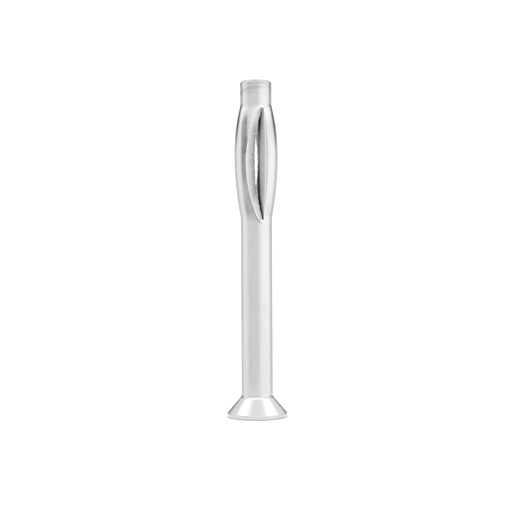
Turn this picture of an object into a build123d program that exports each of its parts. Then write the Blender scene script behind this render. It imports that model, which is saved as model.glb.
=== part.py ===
"""Split-drive anchor: a one-piece zinc-plated steel expansion pin, in millimetres.

The pin is cold-formed from one length of wire. Its countersunk head is upset at one end. Near the
other end the wire is slit lengthwise and its two halves are bowed apart, so that they grip when the
pin is driven into a drilled hole. The pin stands on its head, with its axis on Z and its tip up.
The two legs bow along X, and the slit opens towards -Y and +Y.
"""

import os
from math import atan, cos, radians, sin, tan

from build123d import *

# Wire and head
overall_length = 63.5
shank_diameter = 5.9
head_diameter = 11.4
head_rim_height = 0.8
countersink_angle = 82.0
head_face_edge_radius = 0.25
head_rim_edge_radius = 0.2
under_head_radius = 1.2
tip_edge_radius = 0.7

# Bowed legs
solid_tip_length = 4.6
bow_length = 21.8
bulge_below_tip = 14.0
leg_spread = 1.14
upper_bend_radius = 4.2
lower_bend_radius = 9.0

# Slit between the legs, which twist a little as they spread
slit_below_tip = 5.2
slit_end_width = 0.16
slit_bulge_width = 1.5
slit_end_turn = 28.0
slit_bulge_turn = 21.0
slit_halfway_opening = 0.75

# Facet that the rim of a splitting wheel presses on one corner of each mouth of the slit
facet_turn = 46.0
facet_to_axis = 0.66
facet_wheel_radius = 33.0

# Narrow land that a much larger wheel presses on the mouth's other corner
land_turn = -10.0
land_to_axis = 2.25
land_wheel_radius = 1500.0

# Both wheels leave the wire in a small radius
press_end_radius = 0.9

# Derived sizes
shank_radius = shank_diameter / 2
head_radius = head_diameter / 2
cone_height = (head_radius - shank_radius) / tan(radians(countersink_angle / 2))
cone_top = head_rim_height + cone_height
bow_top = overall_length - solid_tip_length
bow_bottom = bow_top - bow_length
bulge_height = overall_length - bulge_below_tip
slit_top = overall_length - slit_below_tip
slit_bottom = bow_bottom
slit_length = slit_top - slit_bottom
slit_middle = (slit_top + slit_bottom) / 2
slit_plane = Plane((0, 0, 0), z_dir=(cos(radians(slit_end_turn)), sin(radians(slit_end_turn)), 0))


def bend_end(bend_radius, run):
    """Give how far out and how far along a leg's end bend reaches, for a bow of this run."""
    angle = 2 * atan(leg_spread / run)
    return bend_radius * (1 - cos(angle)), bend_radius * sin(angle)


lower_out, lower_along = bend_end(lower_bend_radius, bulge_height - bow_bottom)
upper_out, upper_along = bend_end(upper_bend_radius, bow_top - bulge_height)


def wheel_press(turn, to_axis, wheel_radius, side):
    """Give the metal pressed away on one side of the slit, leaving a face turned this far from -Y."""
    across = (cos(radians(turn)), sin(radians(turn)), 0)
    with BuildPart() as press:
        # The rim is drawn looking along the wheel's axle, with the origin on the pin's axis
        with BuildSketch(Plane((0, 0, slit_middle), x_dir=(0, 0, 1), z_dir=across)) as rim:
            with Locations((0, to_axis + wheel_radius)):
                Circle(wheel_radius)
            Rectangle(
                slit_length, shank_diameter, align=(Align.CENTER, Align.MIN), mode=Mode.INTERSECT
            )
            fillet(rim.vertices().sort_by(Axis.Y)[:2], press_end_radius)
        extrude(amount=shank_diameter, both=True)
        split(bisect_by=slit_plane, keep=side)
    return press.part


facet_press = wheel_press(facet_turn, facet_to_axis, facet_wheel_radius, Keep.BOTTOM)
land_press = wheel_press(land_turn, land_to_axis, land_wheel_radius, Keep.TOP)

with BuildPart() as leg:
    # One half of the wire, swept along its bow and cut back to the plane of the slit
    with BuildLine(Plane.XZ):
        lower_bend = TangentArc((0, bow_bottom), (lower_out, bow_bottom + lower_along), tangent=(0, 1))
        lower_bow = TangentArc(lower_bend @ 1, (leg_spread, bulge_height), tangent=lower_bend % 1)
        upper_bow = TangentArc(lower_bow @ 1, (upper_out, bow_top - upper_along), tangent=lower_bow % 1)
        TangentArc(upper_bow @ 1, (0, bow_top), tangent=upper_bow % 1)
    with BuildSketch(Plane.XY.offset(bow_bottom)):
        Circle(shank_radius)
    sweep()
    split(bisect_by=slit_plane, keep=Keep.TOP)

with BuildPart() as anchor_pin:
    # Head, shank and solid tip are round about the pin's axis
    with BuildSketch(Plane.XZ) as round_profile:
        with BuildLine():
            Polyline(
                (0, 0),
                (head_radius, 0),
                (head_radius, head_rim_height),
                (shank_radius, cone_top),
                (shank_radius, bow_bottom),
                (0, bow_bottom),
                close=True,
            )
        make_face()
        with BuildLine():
            Polyline(
                (0, bow_top),
                (shank_radius, bow_top),
                (shank_radius, overall_length),
                (0, overall_length),
                close=True,
            )
        make_face()
        for corner, radius in (
            ((head_radius, 0), head_face_edge_radius),
            ((head_radius, head_rim_height), head_rim_edge_radius),
            ((shank_radius, cone_top), under_head_radius),
            ((shank_radius, overall_length), tip_edge_radius),
        ):
            fillet(round_profile.vertices().sort_by_distance(corner)[0], radius)
    revolve(axis=Axis.Z)

    # The second leg is the first one turned half a turn about the pin's axis
    with PolarLocations(0, 2):
        add(leg.part)

    # The slit opens and turns with the legs, from 0 at its ends to 1 at the bulge
    for height, opening in (
        (slit_bottom, 0),
        ((slit_bottom + bulge_height) / 2, slit_halfway_opening),
        (bulge_height, 1),
        ((slit_top + bulge_height) / 2, slit_halfway_opening),
        (slit_top, 0),
    ):
        with BuildSketch(Plane.XY.offset(height)):
            Rectangle(
                slit_end_width + (slit_bulge_width - slit_end_width) * opening,
                2 * shank_diameter,
                rotation=slit_end_turn + (slit_bulge_turn - slit_end_turn) * opening,
            )
    loft(mode=Mode.SUBTRACT)

    # Each mouth gets a facet on one leg and a land on the other
    with PolarLocations(0, 2):
        add(facet_press, mode=Mode.SUBTRACT)
        add(land_press, mode=Mode.SUBTRACT)

os.makedirs("parts", exist_ok=True)
anchor_pin.part.label = "anchor_pin"
export_step(anchor_pin.part, "parts/anchor_pin.step")
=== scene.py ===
# %% [markdown]
# # A split-drive anchor in bright zinc
#
# This lesson dresses one small steel fastener. The pin was made from one piece of wire: its head was
# upset at one end, and near its other end the wire was slit and its two halves were bowed apart. The
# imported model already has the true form, so the work here is a clean skin, the rolled lips and ragged
# edges that splitting leaves along the mouths of the slit, and four finishes of the same metal: bright,
# torn, pressed and polished.

# %% Load the frame
import math

import bpy
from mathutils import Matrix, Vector, noise


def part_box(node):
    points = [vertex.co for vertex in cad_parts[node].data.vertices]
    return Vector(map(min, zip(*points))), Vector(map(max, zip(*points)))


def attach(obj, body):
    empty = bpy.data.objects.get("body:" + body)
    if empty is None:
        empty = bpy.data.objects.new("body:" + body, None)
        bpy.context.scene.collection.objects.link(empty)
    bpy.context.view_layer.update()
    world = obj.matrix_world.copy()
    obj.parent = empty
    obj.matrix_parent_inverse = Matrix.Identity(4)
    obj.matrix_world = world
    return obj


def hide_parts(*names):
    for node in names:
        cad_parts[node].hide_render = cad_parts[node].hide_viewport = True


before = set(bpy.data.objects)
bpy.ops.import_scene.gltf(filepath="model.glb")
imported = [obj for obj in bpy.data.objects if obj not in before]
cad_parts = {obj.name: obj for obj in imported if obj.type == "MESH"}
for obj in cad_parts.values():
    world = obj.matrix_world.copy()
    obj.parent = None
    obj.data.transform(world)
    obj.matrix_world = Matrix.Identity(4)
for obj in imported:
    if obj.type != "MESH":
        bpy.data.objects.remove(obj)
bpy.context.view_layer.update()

MM = 0.001
low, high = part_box("anchor_pin")
print("pin", [round(v / MM, 2) for v in low], "to", [round(v / MM, 2) for v in high], "mm")

# %% [markdown]
# ## The camera
#
# A pin this slim is best seen nearly level and from a fair distance, with a long lens, so that its
# sides stay parallel. The camera stands a little above the middle of the pin and looks very slightly
# down. It comes first because every later choice is judged through it.

# %% Place the camera
CAMERA_PLACE = (-0.1 * MM, -246.3 * MM, 33.0 * MM)
LENS, SENSOR_WIDTH = 91.6, 36.0  # millimetres
LOOK_DOWN, LEAN = 0.6, 0.29  # degrees

camera_data = bpy.data.cameras.new("studio_camera")
camera_data.lens = LENS
camera_data.sensor_width = SENSOR_WIDTH
camera_data.clip_start = 10.0 * MM
camera = bpy.data.objects.new("studio_camera", camera_data)
bpy.context.collection.objects.link(camera)
camera.location = CAMERA_PLACE
camera.rotation_euler = (math.radians(90.0 - LOOK_DOWN), math.radians(LEAN), 0.0)
bpy.context.scene.camera = camera
print("camera", [round(v / MM, 1) for v in camera.location], "mm, lens", camera_data.lens)

# %% [markdown]
# ## The skin of the pin
#
# The shape is right already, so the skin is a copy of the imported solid. Its triangles are loose, and
# loose triangles can't tell where one surface ends and the next begins. They are merged, and the exact
# surface normals of the solid are handed back to the merged copy, so that the round shank stays round
# in a reflection. A hand-built tube would only come close to those curves.

# %% Copy and merge the solid
SAME_POINT = 0.0005 * MM  # points nearer to each other than this are merged


def only(obj):
    """Select one object alone and make it the active one."""
    bpy.ops.object.select_all(action="DESELECT")
    obj.select_set(True)
    bpy.context.view_layer.objects.active = obj


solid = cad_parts["anchor_pin"]
pin = solid.copy()
pin.data = solid.data.copy()
pin.name = pin.data.name = "anchor_pin_skin"
bpy.context.collection.objects.link(pin)
only(pin)
bpy.ops.object.mode_set(mode="EDIT")
bpy.ops.mesh.select_all(action="SELECT")
bpy.ops.mesh.remove_doubles(threshold=SAME_POINT)
bpy.ops.mesh.select_all(action="DESELECT")
bpy.ops.object.mode_set(mode="OBJECT")
print("skin has", len(pin.data.vertices), "points and", len(pin.data.polygons), "faces")

# %% Hand the exact normals back
normals = pin.modifiers.new("exact_normals", "DATA_TRANSFER")
normals.object = solid
normals.use_loop_data = True
normals.data_types_loops = {"CUSTOM_NORMAL"}
same_loops = len(pin.data.loops) == len(solid.data.loops)
normals.loop_mapping = "TOPOLOGY" if same_loops else "NEAREST_POLYNOR"
bpy.ops.object.modifier_apply(modifier=normals.name)
print("normals handed back, custom normals:", pin.data.has_custom_normals)

# %% [markdown]
# ## Drawn, torn and pressed metal
#
# Splitting tears the wire, so the inner walls of the slit are grainy. The wheel's rim then presses one
# broad facet and one narrow land beside each mouth, and the rest keeps the smooth drawn surface. The
# kinds of surface are told apart by their normals: between the ends of the slit, a face that looks
# back towards the pin's own middle, or along the pin, was torn, unless it looks the way that a facet
# or a land does.

# %% Sort the faces by how they were made
SLIT_BOTTOM, SLIT_TOP = 37.1 * MM, 58.3 * MM
SLIT_MARGIN = 0.01 * MM
ACROSS_TURN, FACET_TURN, LAND_TURN = 118.0, 46.0, -10.0  # degrees from -Y towards +X
DRAWN, TORN, FACET, LAND = range(4)

# How nearly a normal has to point the named way, as the cosine of the angle between the two
LIKE_LAND, LIKE_FACET, INWARD, ENDWISE = 0.995, 0.85, 0.2, 0.4


def turned(degrees):
    """Give the level direction at this turn from -Y, measured towards +X."""
    return Vector((math.sin(math.radians(degrees)), -math.cos(math.radians(degrees)), 0.0))


ACROSS_SLIT, OUT_OF_FACET, OUT_OF_LAND = map(turned, (ACROSS_TURN, FACET_TURN, LAND_TURN))


def kind_of(face):
    """Say how a face was made."""
    centre, normal = face.center, face.normal
    if not SLIT_BOTTOM - SLIT_MARGIN < centre.z < SLIT_TOP + SLIT_MARGIN:
        return DRAWN
    side = 1.0 if centre.dot(ACROSS_SLIT) > 0.0 else -1.0
    if side * normal.dot(OUT_OF_LAND) > LIKE_LAND:
        return LAND
    faces_in = -side * normal.x > INWARD
    if faces_in and -side * normal.dot(OUT_OF_FACET) > LIKE_FACET:
        return FACET
    return TORN if faces_in or abs(normal.z) > ENDWISE else DRAWN


kinds = [kind_of(face) for face in pin.data.polygons]
print("drawn, torn, facet and land faces:", [kinds.count(kind) for kind in range(4)])

# %% [markdown]
# ## The rolled lips
#
# Where the tool left the wire, it rolled up a thin lip of metal along the outer edge of each facet, and
# along both edges of each land. On the real pin these lips catch the light as fine bright lines. They
# could be a bump in the material, but then they would vanish at the silhouette. Here the edges between
# two kinds of metal are copied off the skin, turned into curves, and given a thin round section, which
# swells a little near the ends of the slit, where more metal was rolled up.

# %% Copy mouth edges off the skin
kinds_on_edge = {}
for face in pin.data.polygons:
    for key in face.edge_keys:
        kinds_on_edge.setdefault(key, set()).add(kinds[face.index])


def edges_of_skin(name, keys):
    """Copy the skin and keep only these of its edges, as one loose wire mesh."""
    wire = pin.copy()
    wire.data = pin.data.copy()
    wire.name = wire.data.name = name
    bpy.context.collection.objects.link(wire)
    only(wire)
    bpy.ops.object.mode_set(mode="EDIT")
    bpy.ops.mesh.select_mode(type="EDGE")
    bpy.ops.mesh.select_all(action="DESELECT")
    bpy.ops.object.mode_set(mode="OBJECT")
    for edge in wire.data.edges:
        edge.select = edge.key not in keys
    bpy.ops.object.mode_set(mode="EDIT")
    bpy.ops.mesh.delete(type="EDGE")
    bpy.ops.object.mode_set(mode="OBJECT")
    print(name, "keeps", len(wire.data.edges), "of", len(keys), "edges")
    return wire


def round_section(radius, factor_at):
    """Turn the active wire mesh into a tube, with this radius times a factor found for each point."""
    bpy.ops.object.convert(target="CURVE")
    curve = bpy.context.object.data
    curve.bevel_depth = radius
    curve.bevel_resolution = 3
    curve.use_fill_caps = True
    for spline in curve.splines:
        for point in spline.points:
            point.radius = factor_at(point.co.to_3d())
    bpy.ops.object.convert(target="MESH")
    bpy.ops.object.shade_smooth_by_angle(angle=math.radians(50.0))
    tube = bpy.context.object
    print(tube.name, "has", len(tube.data.polygons), "faces")
    return tube


def from_slit_end(place):
    """Measure in millimetres how far a point is from the nearer end of the slit."""
    return min(place.z - SLIT_BOTTOM, SLIT_TOP - place.z) / MM


# %% Roll the lips
LIP_RADIUS = 0.09 * MM
LIP_UNEVENNESS, UNEVEN_EVERY = 0.4, 1.8 * MM
END_SWELL, SWELL_REACH = 0.7, 1.6  # a share of the radius, and millimetres from the slit's end


def lip_thickness(place):
    """Give the factor that makes a lip uneven, and thicker near the ends of the slit."""
    near_end = max(0.0, 1.0 - from_slit_end(place) / SWELL_REACH)
    return 1.0 + LIP_UNEVENNESS * noise.noise(place / UNEVEN_EVERY) + END_SWELL * near_end


torn_edge = {TORN, FACET}
edges_of_skin(
    "slit_lips", {key for key, met in kinds_on_edge.items() if len(met) == 2 and met != torn_edge}
)
lips = round_section(LIP_RADIUS, lip_thickness)

# %% [markdown]
# ## The ragged torn edges
#
# Between a facet and the torn wall behind it the metal gave way unevenly, so that edge is ragged, with
# small burrs of about a tenth of a millimetre. They are made like the lips, but the edge is first cut
# into short steps, and a noise pushes each step about and gives it its own thickness.

# %% Tear the inner edges
BURR_RADIUS, THICKNESS_EVERY = 0.06 * MM, 0.30 * MM
BURR_PUSH, PUSH_EVERY = 0.09 * MM, 0.40 * MM
CUTS_PER_EDGE = 5
OTHER_NOISE = Vector((31.4, 0.0, 0.0))  # far enough to read a second, unrelated noise

burrs = edges_of_skin("torn_edges", {key for key, met in kinds_on_edge.items() if met == torn_edge})
bpy.ops.object.mode_set(mode="EDIT")
bpy.ops.mesh.select_all(action="SELECT")
bpy.ops.mesh.subdivide(number_cuts=CUTS_PER_EDGE)
bpy.ops.object.mode_set(mode="OBJECT")
points = burrs.data.vertices
steps = [(points[a].co - points[b].co).length / MM for a, b in burrs.data.edge_keys]
print("steps of", round(min(steps), 3), "to", round(max(steps), 3), "mm")
for point in points:
    place = point.co / PUSH_EVERY
    push = Vector((noise.noise(place), noise.noise(place + OTHER_NOISE), 0.0)) * BURR_PUSH
    point.co += push * min(1.0, max(0.0, from_slit_end(point.co)))
burrs = round_section(BURR_RADIUS, lambda place: 1.0 + noise.noise(place / THICKNESS_EVERY))

# %% [markdown]
# ## Writing materials as sums
#
# Procedural finishes are chains of small sums: a noise times a mask, one minus a fade, and so on. The
# first class below wraps a socket so that such a sum can be written as plain arithmetic, and each
# operator adds its own Math node. The second makes every other kind of node, for a material or for the
# room. The third is one finish, and it measures the pin in millimetres, as a maker would.

# %% Write sums as plain arithmetic
class Signal:
    """A number that flows through a material, with arithmetic written as in Python."""

    def __init__(self, finish, socket):
        self.finish, self.socket = finish, socket

    def math(self, operation, other, swap=False):
        pair = (other, self) if swap else (self, other)
        return self.finish.add("ShaderNodeMath", {"operation": operation}, dict(enumerate(pair)))

    def __add__(self, other): return self.math("ADD", other)
    def __radd__(self, other): return self.math("ADD", other, swap=True)
    def __sub__(self, other): return self.math("SUBTRACT", other)
    def __rsub__(self, other): return self.math("SUBTRACT", other, swap=True)
    def __mul__(self, other): return self.math("MULTIPLY", other)
    def __rmul__(self, other): return self.math("MULTIPLY", other, swap=True)
    def __abs__(self): return self.math("ABSOLUTE", 0.0)
    def __pow__(self, other): return self.math("POWER", other)


# %% Add every other kind of node
class Graph:
    """The nodes of one material or world."""

    def __init__(self, tree):
        self.nodes, self.links = tree.nodes, tree.links

    def add(self, kind, settings, sockets, out=0):
        """Add a node, set it up, fill its sockets, and give one of its outputs."""
        node = self.nodes.new(kind)
        for name, value in settings.items():
            if name == "stops":
                self.set_stops(node.color_ramp, value)
            else:
                setattr(node, name, value)
        for name, value in sockets.items():
            self.plug(node.inputs[name], value)
        return Signal(self, node.outputs[out])

    def plug(self, target, value):
        if isinstance(value, Signal):
            self.links.new(value.socket, target)
        else:
            target.default_value = value

    def set_stops(self, ramp, stops):
        while len(ramp.elements) < len(stops):
            ramp.elements.new(0.5)
        for element, (position, level) in zip(ramp.elements, stops):
            element.position = position
            element.color = (level, level, level, 1.0)

    def ramp(self, signal, *stops):
        """Read a level off a line through these stops, placed in the signal's own units."""
        first, last = stops[0][0], stops[-1][0]
        stops = [((place - first) / (last - first), level) for place, level in stops]
        share = (signal - first) * (1.0 / (last - first))
        return self.add("ShaderNodeValToRGB", {"stops": stops}, {"Fac": share})

    def mix(self, amount, first, second):
        """Blend from the first colour to the second as the amount goes from 0 to 1."""
        return self.add(
            "ShaderNodeMix", {"data_type": "RGBA"}, {"Factor": amount, 6: first, 7: second}, out=2
        )


# %% Measure a finish in millimetres
# The rim of the splitting wheel, in millimetres: where its centre lies, and how large it is
RIM_CENTRE_OUT, RIM_CENTRE_HEIGHT, RIM_RADIUS = 33.66, 47.7, 33.0


class Finish(Graph):
    """One procedural material, read from the piece's own coordinates in millimetres."""

    def __init__(self, name):
        self.material = bpy.data.materials.new(name)
        self.material.use_nodes = True
        super().__init__(self.material.node_tree)
        self.shader = self.nodes["Principled BSDF"]
        self.place = self.add("ShaderNodeTexCoord", {}, {}, out="Object")
        parts = self.add("ShaderNodeSeparateXYZ", {}, {"Vector": self.place}).socket.node.outputs
        self.x, self.y, self.z = (Signal(self, parts[name]) * 1000.0 for name in "XYZ")

    def along(self, degrees):
        """Measure in millimetres how far a point lies from the axis at this turn from -Y."""
        turn = math.radians(degrees)
        return self.x * math.sin(turn) - self.y * math.cos(turn)

    def from_rim(self, across_slit):
        """Measure in millimetres how far a point lies behind the rim that pressed a facet.

        The facet is the one on the point's own leg, or the one across the slit from it.
        """
        side = self.along(ACROSS_TURN).math("SIGN", 0.0) * (1.0 if across_slit else -1.0)
        inward = RIM_CENTRE_OUT - self.along(FACET_TURN) * side
        upward = self.z - RIM_CENTRE_HEIGHT
        return (inward * inward + upward * upward) ** 0.5 - RIM_RADIUS

    def noise(self, scale, detail, squeeze=1.0):
        """Scatter this many patches to the metre, and fewer along the pin if squeeze is below 1."""
        stretch = (1.0, 1.0, squeeze)
        spread = self.add("ShaderNodeMapping", {}, {"Vector": self.place, "Scale": stretch})
        return self.add("ShaderNodeTexNoise", {}, {"Vector": spread, "Scale": scale, "Detail": detail})

    def bump(self, height, distance, strength, normal=None):
        """Turn a height into a normal, on top of an earlier bump if there is one."""
        sockets = {"Height": height, "Distance": distance, "Strength": strength}
        if normal is not None:
            sockets["Normal"] = normal
        return self.add("ShaderNodeBump", {}, sockets)

    def surface(self, **values):
        """Fill the shader's sockets, named with _ where Blender has a space."""
        for name, value in values.items():
            self.plug(self.shader.inputs[name.replace("_", " ")], value)


# %% [markdown]
# ## Bright zinc on drawn wire
#
# The shank, head and tip keep the surface of drawn wire under a thin bright plating. Plating is never
# one even grey: it has faint clouds, and it is duller where the parts rubbed in the barrel. Drawing
# leaves very fine lines along the wire. The end of the tip was cropped and rolled, so it is a little
# rougher and has a few faint arcs round it, and its very top is darkened with painted shade over the
# ceiling's reflection. Where the bow begins below the tip, the colour is lighter, a painted reflection.
# Beside each facet a band of painted shade runs down that corner of the leg, on slightly rougher metal,
# with a darker painted shadow line right at the lip. Towards the tip a pale strip along the lip is a
# painted highlight.

# %% Find the painted shade and the painted highlight beside the facets
BULGE_HEIGHT = 49.5  # millimetres


def dull_and_painted_shade_beside_facet(finish):
    """Give 1 in a band down the corner beside each facet, where shade is painted on duller metal, and 0
    elsewhere.
    """
    height, out = finish.z, abs(finish.x)
    from_bulge = height - BULGE_HEIGHT
    bow = from_bulge * from_bulge

    # The broad band of painted shade on duller metal follows the bow of the leg and fades at both ends
    band_edge = 2.93 - bow * 0.0065
    band = finish.ramp(band_edge - out, (0.02, 0.0), (0.24, 1.0))
    lower_half = finish.ramp(height, (50.0, 1.0), (53.0, 0.0))
    reach = finish.ramp(out, (1.55, 0.0), (1.80, 1.0)).math("MAXIMUM", lower_half)
    depth = finish.ramp(
        height, (36.5, 0.0), (38.5, 0.36), (44.0, 0.40), (48.0, 0.66), (55.5, 0.62), (57.75, 0.0)
    )

    # Its darker painted core is narrower and lies in its upper half
    core_line = 2.22 - bow * 0.0097
    core = finish.ramp(abs(core_line - out), (0.04, 1.0), (0.22, 0.0))
    core_run = finish.ramp(height, (47.0, 0.0), (50.0, 0.62), (56.0, 0.85), (57.25, 0.0))

    # X times Y is above 0 on this corner of one leg and on the matching corner of the other
    corner = finish.ramp(finish.x * finish.y, (0.05, 0.0), (0.30, 1.0))
    dull_and_shaded_band = (band * reach * depth).math("MAXIMUM", core * core_run) * corner

    # A darker painted shadow line runs right beside the lip of the facet
    beside = finish.from_rim(across_slit=False)
    line = finish.ramp(beside, (-0.06, 0.0), (-0.01, 1.0), (0.16, 0.8), (0.30, 0.0))
    line_run = finish.ramp(height, (36.25, 0.0), (37.25, 1.0), (51.5, 1.0), (54.0, 0.0))
    return dull_and_shaded_band.math("MAXIMUM", line * line_run * 0.8)


def painted_highlight_strip(finish):
    """Give 1 in a strip along the lip towards the tip, where a highlight is painted, and 0 elsewhere."""
    beside = finish.from_rim(across_slit=False)
    strip = finish.ramp(beside - (finish.z - 53.0) * 0.06, (0.02, 1.0), (0.28, 0.0))
    run = finish.ramp(finish.z, (52.2, 0.0), (54.5, 1.0), (58.0, 1.0), (58.8, 0.0))
    return strip * run


# %% Mix the bright zinc
# Besides the zinc's own tones, these colours paint a reflection below the tip, shade beside the facets,
# a highlight along the lips towards the tip, and shade at the very top of the tip, which also colours
# the arcs
SHADED_ZINC, LIT_ZINC = (0.57, 0.575, 0.58, 1.0), (0.66, 0.665, 0.67, 1.0)
RUBBED_ZINC, PAINTED_REFLECTION_ZINC = (0.46, 0.465, 0.48, 1.0), (0.77, 0.775, 0.78, 1.0)
PAINTED_SHADE_ZINC, PAINTED_HIGHLIGHT_ZINC = (0.13, 0.13, 0.14, 1.0), (0.88, 0.88, 0.89, 1.0)
MARK_AND_PAINTED_SHADE_ZINC = (0.40, 0.40, 0.41, 1.0)

zinc = Finish("bright_zinc")
clouds = zinc.noise(260.0, 4.0, squeeze=0.45)
draw_lines = zinc.noise(2400.0, 2.0, squeeze=0.03)
streaks = zinc.noise(1700.0, 4.0, squeeze=0.30)
rubs = zinc.ramp(zinc.noise(900.0, 5.0, squeeze=0.6), (0.60, 0.0), (0.74, 1.0))
# Where the bow begins below the tip, the colour is lighter: a painted reflection
painted_reflection_band = zinc.ramp(zinc.z, (55.0, 0.0), (57.0, 1.0), (58.0, 1.0), (58.9, 0.0))
# The very top of the tip is rougher, and darkened with painted shade over the ceiling's reflection
dull_and_shaded_top = zinc.ramp(zinc.z, (62.9, 0.0), (63.25, 1.0))
# Painted shade beside the facets, on duller metal
dull_and_painted_shade = dull_and_painted_shade_beside_facet(zinc)

# The arcs are a noise that hardly changes round the tip and sags towards its sides
arc_place = {"X": zinc.x * 0.12, "Y": zinc.y * 0.12, "Z": zinc.z + zinc.x * zinc.x * 0.10}
arc_place = zinc.add("ShaderNodeCombineXYZ", {}, arc_place)
arcs = zinc.add("ShaderNodeTexNoise", {}, {"Vector": arc_place, "Scale": 1.5, "Detail": 2.0})
on_tip = zinc.ramp(zinc.z, (59.7, 0.0), (60.4, 1.0))
dark_arcs = zinc.ramp(arcs, (0.38, 1.0), (0.52, 0.0)) * on_tip

zinc_colour = zinc.mix(clouds, SHADED_ZINC, LIT_ZINC)
zinc_colour = zinc.mix(rubs * 0.25, zinc_colour, RUBBED_ZINC)
# The lighter colour below the tip is a painted reflection
zinc_colour = zinc.mix(painted_reflection_band * 0.85, zinc_colour, PAINTED_REFLECTION_ZINC)
zinc_colour = zinc.mix(dark_arcs * 0.5, zinc_colour, MARK_AND_PAINTED_SHADE_ZINC)
# The band beside each facet paints shade, with a darker painted shadow line at the lip
zinc_colour = zinc.mix(dull_and_painted_shade * (0.15 + streaks * 1.7), zinc_colour, PAINTED_SHADE_ZINC)
# The pale strip along the lip towards the tip is a painted highlight
zinc_colour = zinc.mix(painted_highlight_strip(zinc) * 0.7, zinc_colour, PAINTED_HIGHLIGHT_ZINC)
# The darkened top of the tip is painted shade over the ceiling's reflection
zinc_colour = zinc.mix(dull_and_shaded_top * 0.85, zinc_colour, MARK_AND_PAINTED_SHADE_ZINC)

grain = zinc.bump(draw_lines, 0.006 * MM, 0.35)
worn = zinc.bump(clouds + rubs * 0.4, 0.05 * MM, 0.25, grain)
marked = zinc.bump(arcs * on_tip, 0.05 * MM, 0.5, worn)
zinc.surface(
    Base_Color=zinc_colour,
    Metallic=1.0,
    Roughness=0.18 + clouds * 0.08 + rubs * 0.08 + dull_and_painted_shade * 0.12 + dull_and_shaded_top * 0.10,
    Normal=marked,
)
print("bright zinc has", len(zinc.nodes), "nodes")

# %% [markdown]
# ## Torn metal
#
# The inner walls were torn rather than drawn. Under the plating they are coarse, with a grain about a
# tenth of a millimetre wide, drawn out a little along the pin, and the plating on them is whitish and
# dull. Shade is painted into the slit: each wall is dark wherever it lies deeper than the facet across
# from it, and darkest near the slit's ends, where it is narrowest. The painted shade lifts again towards
# the far mouth, and right under the tip, where the slit runs out.

# %% Mix the torn zinc
DULL_PLATING, WHITE_PLATING = (0.78, 0.78, 0.79, 1.0), (0.97, 0.97, 0.98, 1.0)
# Colours of the painted shade in the slit, at the bulge and at the ends
SLIT_SHADE_AT_BULGE, SLIT_SHADE_AT_ENDS = (0.34, 0.34, 0.34, 1.0), (0.01, 0.01, 0.01, 1.0)

torn = Finish("torn_zinc")
torn_grain = torn.noise(5200.0, 5.0, squeeze=0.5)
torn_patches = torn.noise(1300.0, 3.0, squeeze=0.4)

# How far a point lies below the facet across the slit, in millimetres, with ragged borders. The
# lower end of the slit is the narrowest, so it counts as deeper.
lower_end = torn.ramp(torn.z, (38.47, 1.0), (41.8, 0.0))
sunk = torn.from_rim(across_slit=True) + torn_patches * 0.2 - 0.1 + lower_end * 0.5
# Painted shade in the slit: 1 where a wall is clear of it, 0 where it is darkest
clear_of_slit_shade = torn.ramp(
    sunk, (-0.20, 1.0), (0.12, 0.85), (0.32, 0.45), (0.52, 0.0), (1.24, 0.0), (1.64, 0.8)
)
clear_of_slit_shade = clear_of_slit_shade.math("MAXIMUM", torn.ramp(torn.z, (57.2, 0.0), (57.9, 0.8)))

plating = torn.mix(torn_patches, DULL_PLATING, WHITE_PLATING)
# The painted shade in the slit is darkest near its ends
near_ends = torn.ramp(abs(torn.z - 50.5), (1.5, 0.0), (5.0, 1.0))
painted_slit_shade = torn.mix(near_ends, SLIT_SHADE_AT_BULGE, SLIT_SHADE_AT_ENDS)
torn_bump = torn.bump(torn_grain, 0.05 * MM, 0.55)
torn_bump = torn.bump(torn_patches, 0.12 * MM, 0.35, torn_bump)
torn.surface(
    Base_Color=torn.mix(clear_of_slit_shade, painted_slit_shade, plating),
    Metallic=0.55,
    Roughness=0.46 + torn_grain * 0.2,
    Normal=torn_bump,
)
print("torn zinc has", len(torn.nodes), "nodes")

# %% [markdown]
# ## The pressed facets
#
# A facet is metal that was first torn and then squeezed flat by the wheel. It keeps a mottle about a
# third of a millimetre across. Shade is painted onto it, darker towards the slit. Near its two ends,
# where it is narrow, it has no painted shade.

# %% Mix the pressed zinc
# Painted shade on the facet, and the facet's own colour clear of it
FACET_PAINTED_SHADE, UNSHADED_FACET_ZINC = (0.28, 0.28, 0.29, 1.0), (0.74, 0.74, 0.75, 1.0)
MOTTLE_SPOTS = (0.88, 0.88, 0.89, 1.0)

pressed = Finish("pressed_zinc")
mottle = pressed.noise(3600.0, 3.0, squeeze=0.7)
fine_mottle = pressed.noise(7000.0, 3.0, squeeze=0.7)
from_slit = abs(pressed.along(ACROSS_TURN)) + (mottle - 0.5) * 0.533
# Shade is painted onto the facet towards the slit, and none near its two ends
clear_of_facet_shade = pressed.ramp(from_slit, (0.80, 0.0), (1.20, 0.25), (1.73, 0.65), (2.67, 1.0))
near_end = pressed.ramp(abs(pressed.z - 48.0), (5.0, 0.0), (8.0, 1.0))
clear_of_facet_shade = clear_of_facet_shade.math("MAXIMUM", near_end)
facet_colour_with_shade = pressed.mix(clear_of_facet_shade, FACET_PAINTED_SHADE, UNSHADED_FACET_ZINC)
spotted = pressed.ramp(mottle, (0.38, 0.0), (0.62, 0.5))
pressed_bump = pressed.bump(mottle, 0.09 * MM, 0.55)
pressed_bump = pressed.bump(fine_mottle, 0.03 * MM, 0.5, pressed_bump)
pressed.surface(
    Base_Color=pressed.mix(spotted, facet_colour_with_shade, MOTTLE_SPOTS),
    Metallic=0.85,
    Roughness=0.36 + fine_mottle * 0.2,
    Normal=pressed_bump,
)
print("pressed zinc has", len(pressed.nodes), "nodes")

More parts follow.
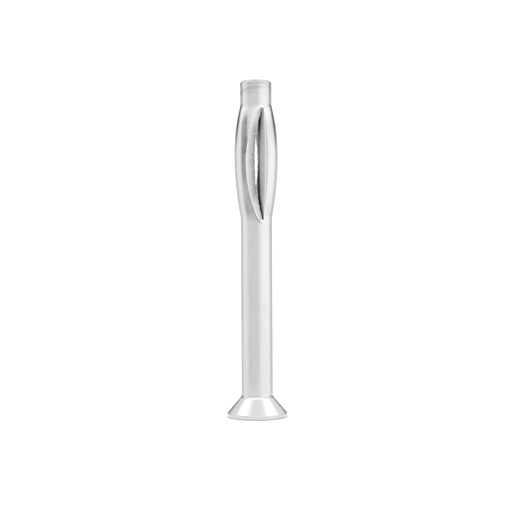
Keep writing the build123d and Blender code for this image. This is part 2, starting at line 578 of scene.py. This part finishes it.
# %% [markdown]
# ## The polished lips
#
# The lips stand proud, so handling and plating polish them first. They get the brightest and
# smoothest of the four finishes, with small uneven spots. The ragged edges keep the torn finish.

# %% Mix the lip zinc and hand out the materials
DULL_LIP, BRIGHT_LIP = (0.72, 0.72, 0.73, 1.0), (0.93, 0.93, 0.93, 1.0)

polished = Finish("polished_lip_zinc")
spots = polished.noise(3000.0, 3.0)
polished.surface(
    Base_Color=polished.mix(spots, DULL_LIP, BRIGHT_LIP),
    Metallic=1.0,
    Roughness=0.14 + spots * 0.22,
    Normal=polished.bump(spots, 0.03 * MM, 0.4),
)

for piece, finishes in ((pin, (zinc, torn, pressed)), (lips, (polished,)), (burrs, (torn,))):
    piece.data.materials.clear()
    for finish in finishes:
        piece.data.materials.append(finish.material)
    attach(piece, "root")

# The kinds count up in the order of the pin's materials, and a land is smooth drawn metal too
for face, kind in zip(pin.data.polygons, kinds):
    face.material_index = DRAWN if kind == LAND else kind
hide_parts("anchor_pin")

# %% [markdown]
# ## The floor
#
# Small bright hardware is shown on a plain white sheet. The sheet is only a little wider than the
# pin is tall, so that the shank mirrors the room beyond it rather than the sheet itself.

# %% Lay the white sheet
SHEET_RADIUS = 36.0 * MM
DARKER_PAPER, LIGHTER_PAPER = (0.93, 0.93, 0.93, 1.0), (0.95, 0.95, 0.95, 1.0)

bpy.ops.object.select_all(action="DESELECT")
bpy.ops.mesh.primitive_circle_add(vertices=96, radius=SHEET_RADIUS, fill_type="NGON")
sheet = bpy.context.object
sheet.name = "white_sheet"
paper = Finish("white_paper")
paper_mottle = paper.noise(30.0, 2.0)
paper.surface(Base_Color=paper.mix(paper_mottle, DARKER_PAPER, LIGHTER_PAPER), Roughness=0.8)
sheet.data.materials.append(paper.material)
print("sheet is", round(2.0 * SHEET_RADIUS / MM), "mm across")

# %% [markdown]
# ## The light
#
# Metal shows its surroundings rather than its own colour, so the room is painted first. It is a stack
# of belts: one at eye level for the straight shank, one below it and one above it for the two halves of
# the bowed legs, an even one higher up for the cone of the head, and the bright ceiling that lights the
# sheet. The three lower belts are lightest to the right and left of the pin, greyer in front of it and
# behind it, and the upper one is nearly black behind it. The metal mirrors this room, but the camera
# itself sees plain white.

# %% Paint the room round the pin
ROOM_STRENGTH = 2.2  # more than doubles every brightness below, so that 0.5 is plain white
PLAIN_WHITE = EVEN_BELT = (0.5, 0.5, 0.5, 1.0)

world = bpy.data.worlds.new("white_room")
bpy.context.scene.world = world
world.use_nodes = True
room = Graph(world.node_tree)
direction = room.add("ShaderNodeTexCoord", {}, {}, out="Generated")
axes = room.add("ShaderNodeSeparateXYZ", {}, {"Vector": direction}).socket.node.outputs
across, ahead, climb = (Signal(room, axes[name]) for name in "XYZ")

# Each belt gives its brightness at turns from the camera, in degrees towards +X
turn = across.math("ARCTAN2", ahead * -1.0) * (180.0 / math.pi)
eye_level = room.ramp(
    turn,
    (-128, 0.36), (-114, 0.53), (-80, 0.53), (-58, 0.46),
    (8, 0.45), (32, 0.60), (106, 0.63), (122, 0.37),
)
upper = room.ramp(
    turn,
    (-122, 0.04), (-112, 0.54), (-68, 0.52), (-60, 0.36), (-42, 0.36),
    (-34, 0.42), (16, 0.42), (32, 0.54), (105, 0.53), (122, 0.04),
)
lower = room.ramp(
    turn,
    (-130, 0.36), (-114, 0.54), (-66, 0.52), (-60, 0.34), (-42, 0.34),
    (-34, 0.42), (16, 0.42), (32, 0.54), (105, 0.55), (124, 0.36),
)
ceiling = room.ramp(climb, (0.60, 0.0), (0.70, 0.80), (0.90, 0.80), (0.94, 0.50))

# The belts are stacked by how steeply a direction climbs
belts = room.mix(room.ramp(climb, (0.10, 0.0), (0.15, 1.0)), eye_level, upper)
belts = room.mix(room.ramp(climb, (-0.15, 1.0), (-0.10, 0.0)), belts, lower)
belts = room.mix(room.ramp(climb, (0.24, 0.0), (0.36, 1.0)), belts, EVEN_BELT)
belts = room.mix(room.ramp(climb, (0.60, 0.0), (0.68, 1.0)), belts, ceiling)
seen_by_camera = room.add("ShaderNodeLightPath", {}, {}, out="Is Camera Ray")
backdrop = room.nodes["Background"].inputs
room.plug(backdrop["Color"], room.mix(seen_by_camera, belts, PLAIN_WHITE))
backdrop["Strength"].default_value = ROOM_STRENGTH
print("room has", len(room.nodes), "nodes")

# %% Set the soft boxes round the pin
def soft_box(name, turn, distance, size, glow):
    """Stand a soft box at a turn from the camera, measured towards +X, with its foot on the floor."""
    light = bpy.data.lights.new(name, "AREA")
    light.shape = "RECTANGLE"
    light.size, light.size_y = size
    light.energy = glow * math.pi * size[0] * size[1]
    lamp = bpy.data.objects.new(name, light)
    bpy.context.collection.objects.link(lamp)
    turn = math.radians(turn)
    lamp.location = (distance * math.sin(turn), -distance * math.cos(turn), size[1] / 2)
    lamp.rotation_euler = (math.radians(90.0), 0.0, turn)
    lamp.visible_camera = False
    print(name, "at", [round(v, 2) for v in lamp.location], "m")


soft_box("right_box", turn=66.0, distance=0.50, size=(0.60, 0.40), glow=0.12)
soft_box("left_box", turn=-98.0, distance=0.50, size=(0.30, 0.40), glow=0.08)

# The Standard view keeps white as white
bpy.context.scene.view_settings.view_transform = "Standard"
